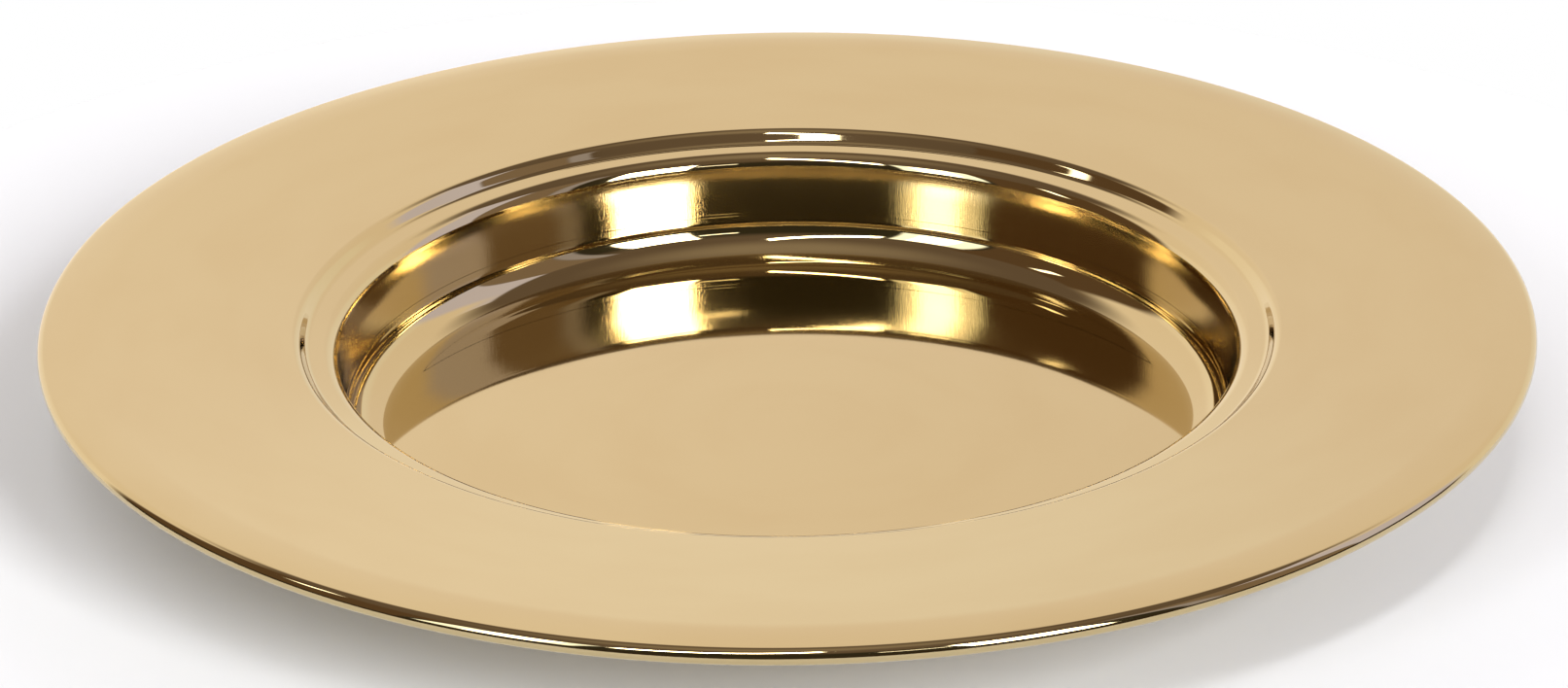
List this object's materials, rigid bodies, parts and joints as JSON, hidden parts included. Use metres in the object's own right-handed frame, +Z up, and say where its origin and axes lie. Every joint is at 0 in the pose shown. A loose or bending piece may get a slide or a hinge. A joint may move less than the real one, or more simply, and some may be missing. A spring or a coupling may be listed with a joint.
{
  "type": "paten plate",
  "caption": "Round wide-brimmed plate with a rolled, wired edge, a small step round its mouth, and a well with an upright wall and a flat floor, in polished gold-toned brass.",
  "frame": {"origin": "centre of the flat underside that the plate stands on", "axes": "+Z up along the plate's axis of revolution; X and Y are equal"},
  "size_m": [0.254, 0.254, 0.025],
  "materials": {
    "polished_brass": "mirror-polished brass, lacquered, with fine tool rings",
    "burnished_brass": "polished brass with a fine brushed grain on the upright wall",
    "wire_brass": "drawn wire, dull"
  },
  "bodies": {
    "root": {"brim_plate": "polished_brass", "well_dish": "burnished_brass", "rim_wire": "wire_brass"}
  },
  "joints": []
}
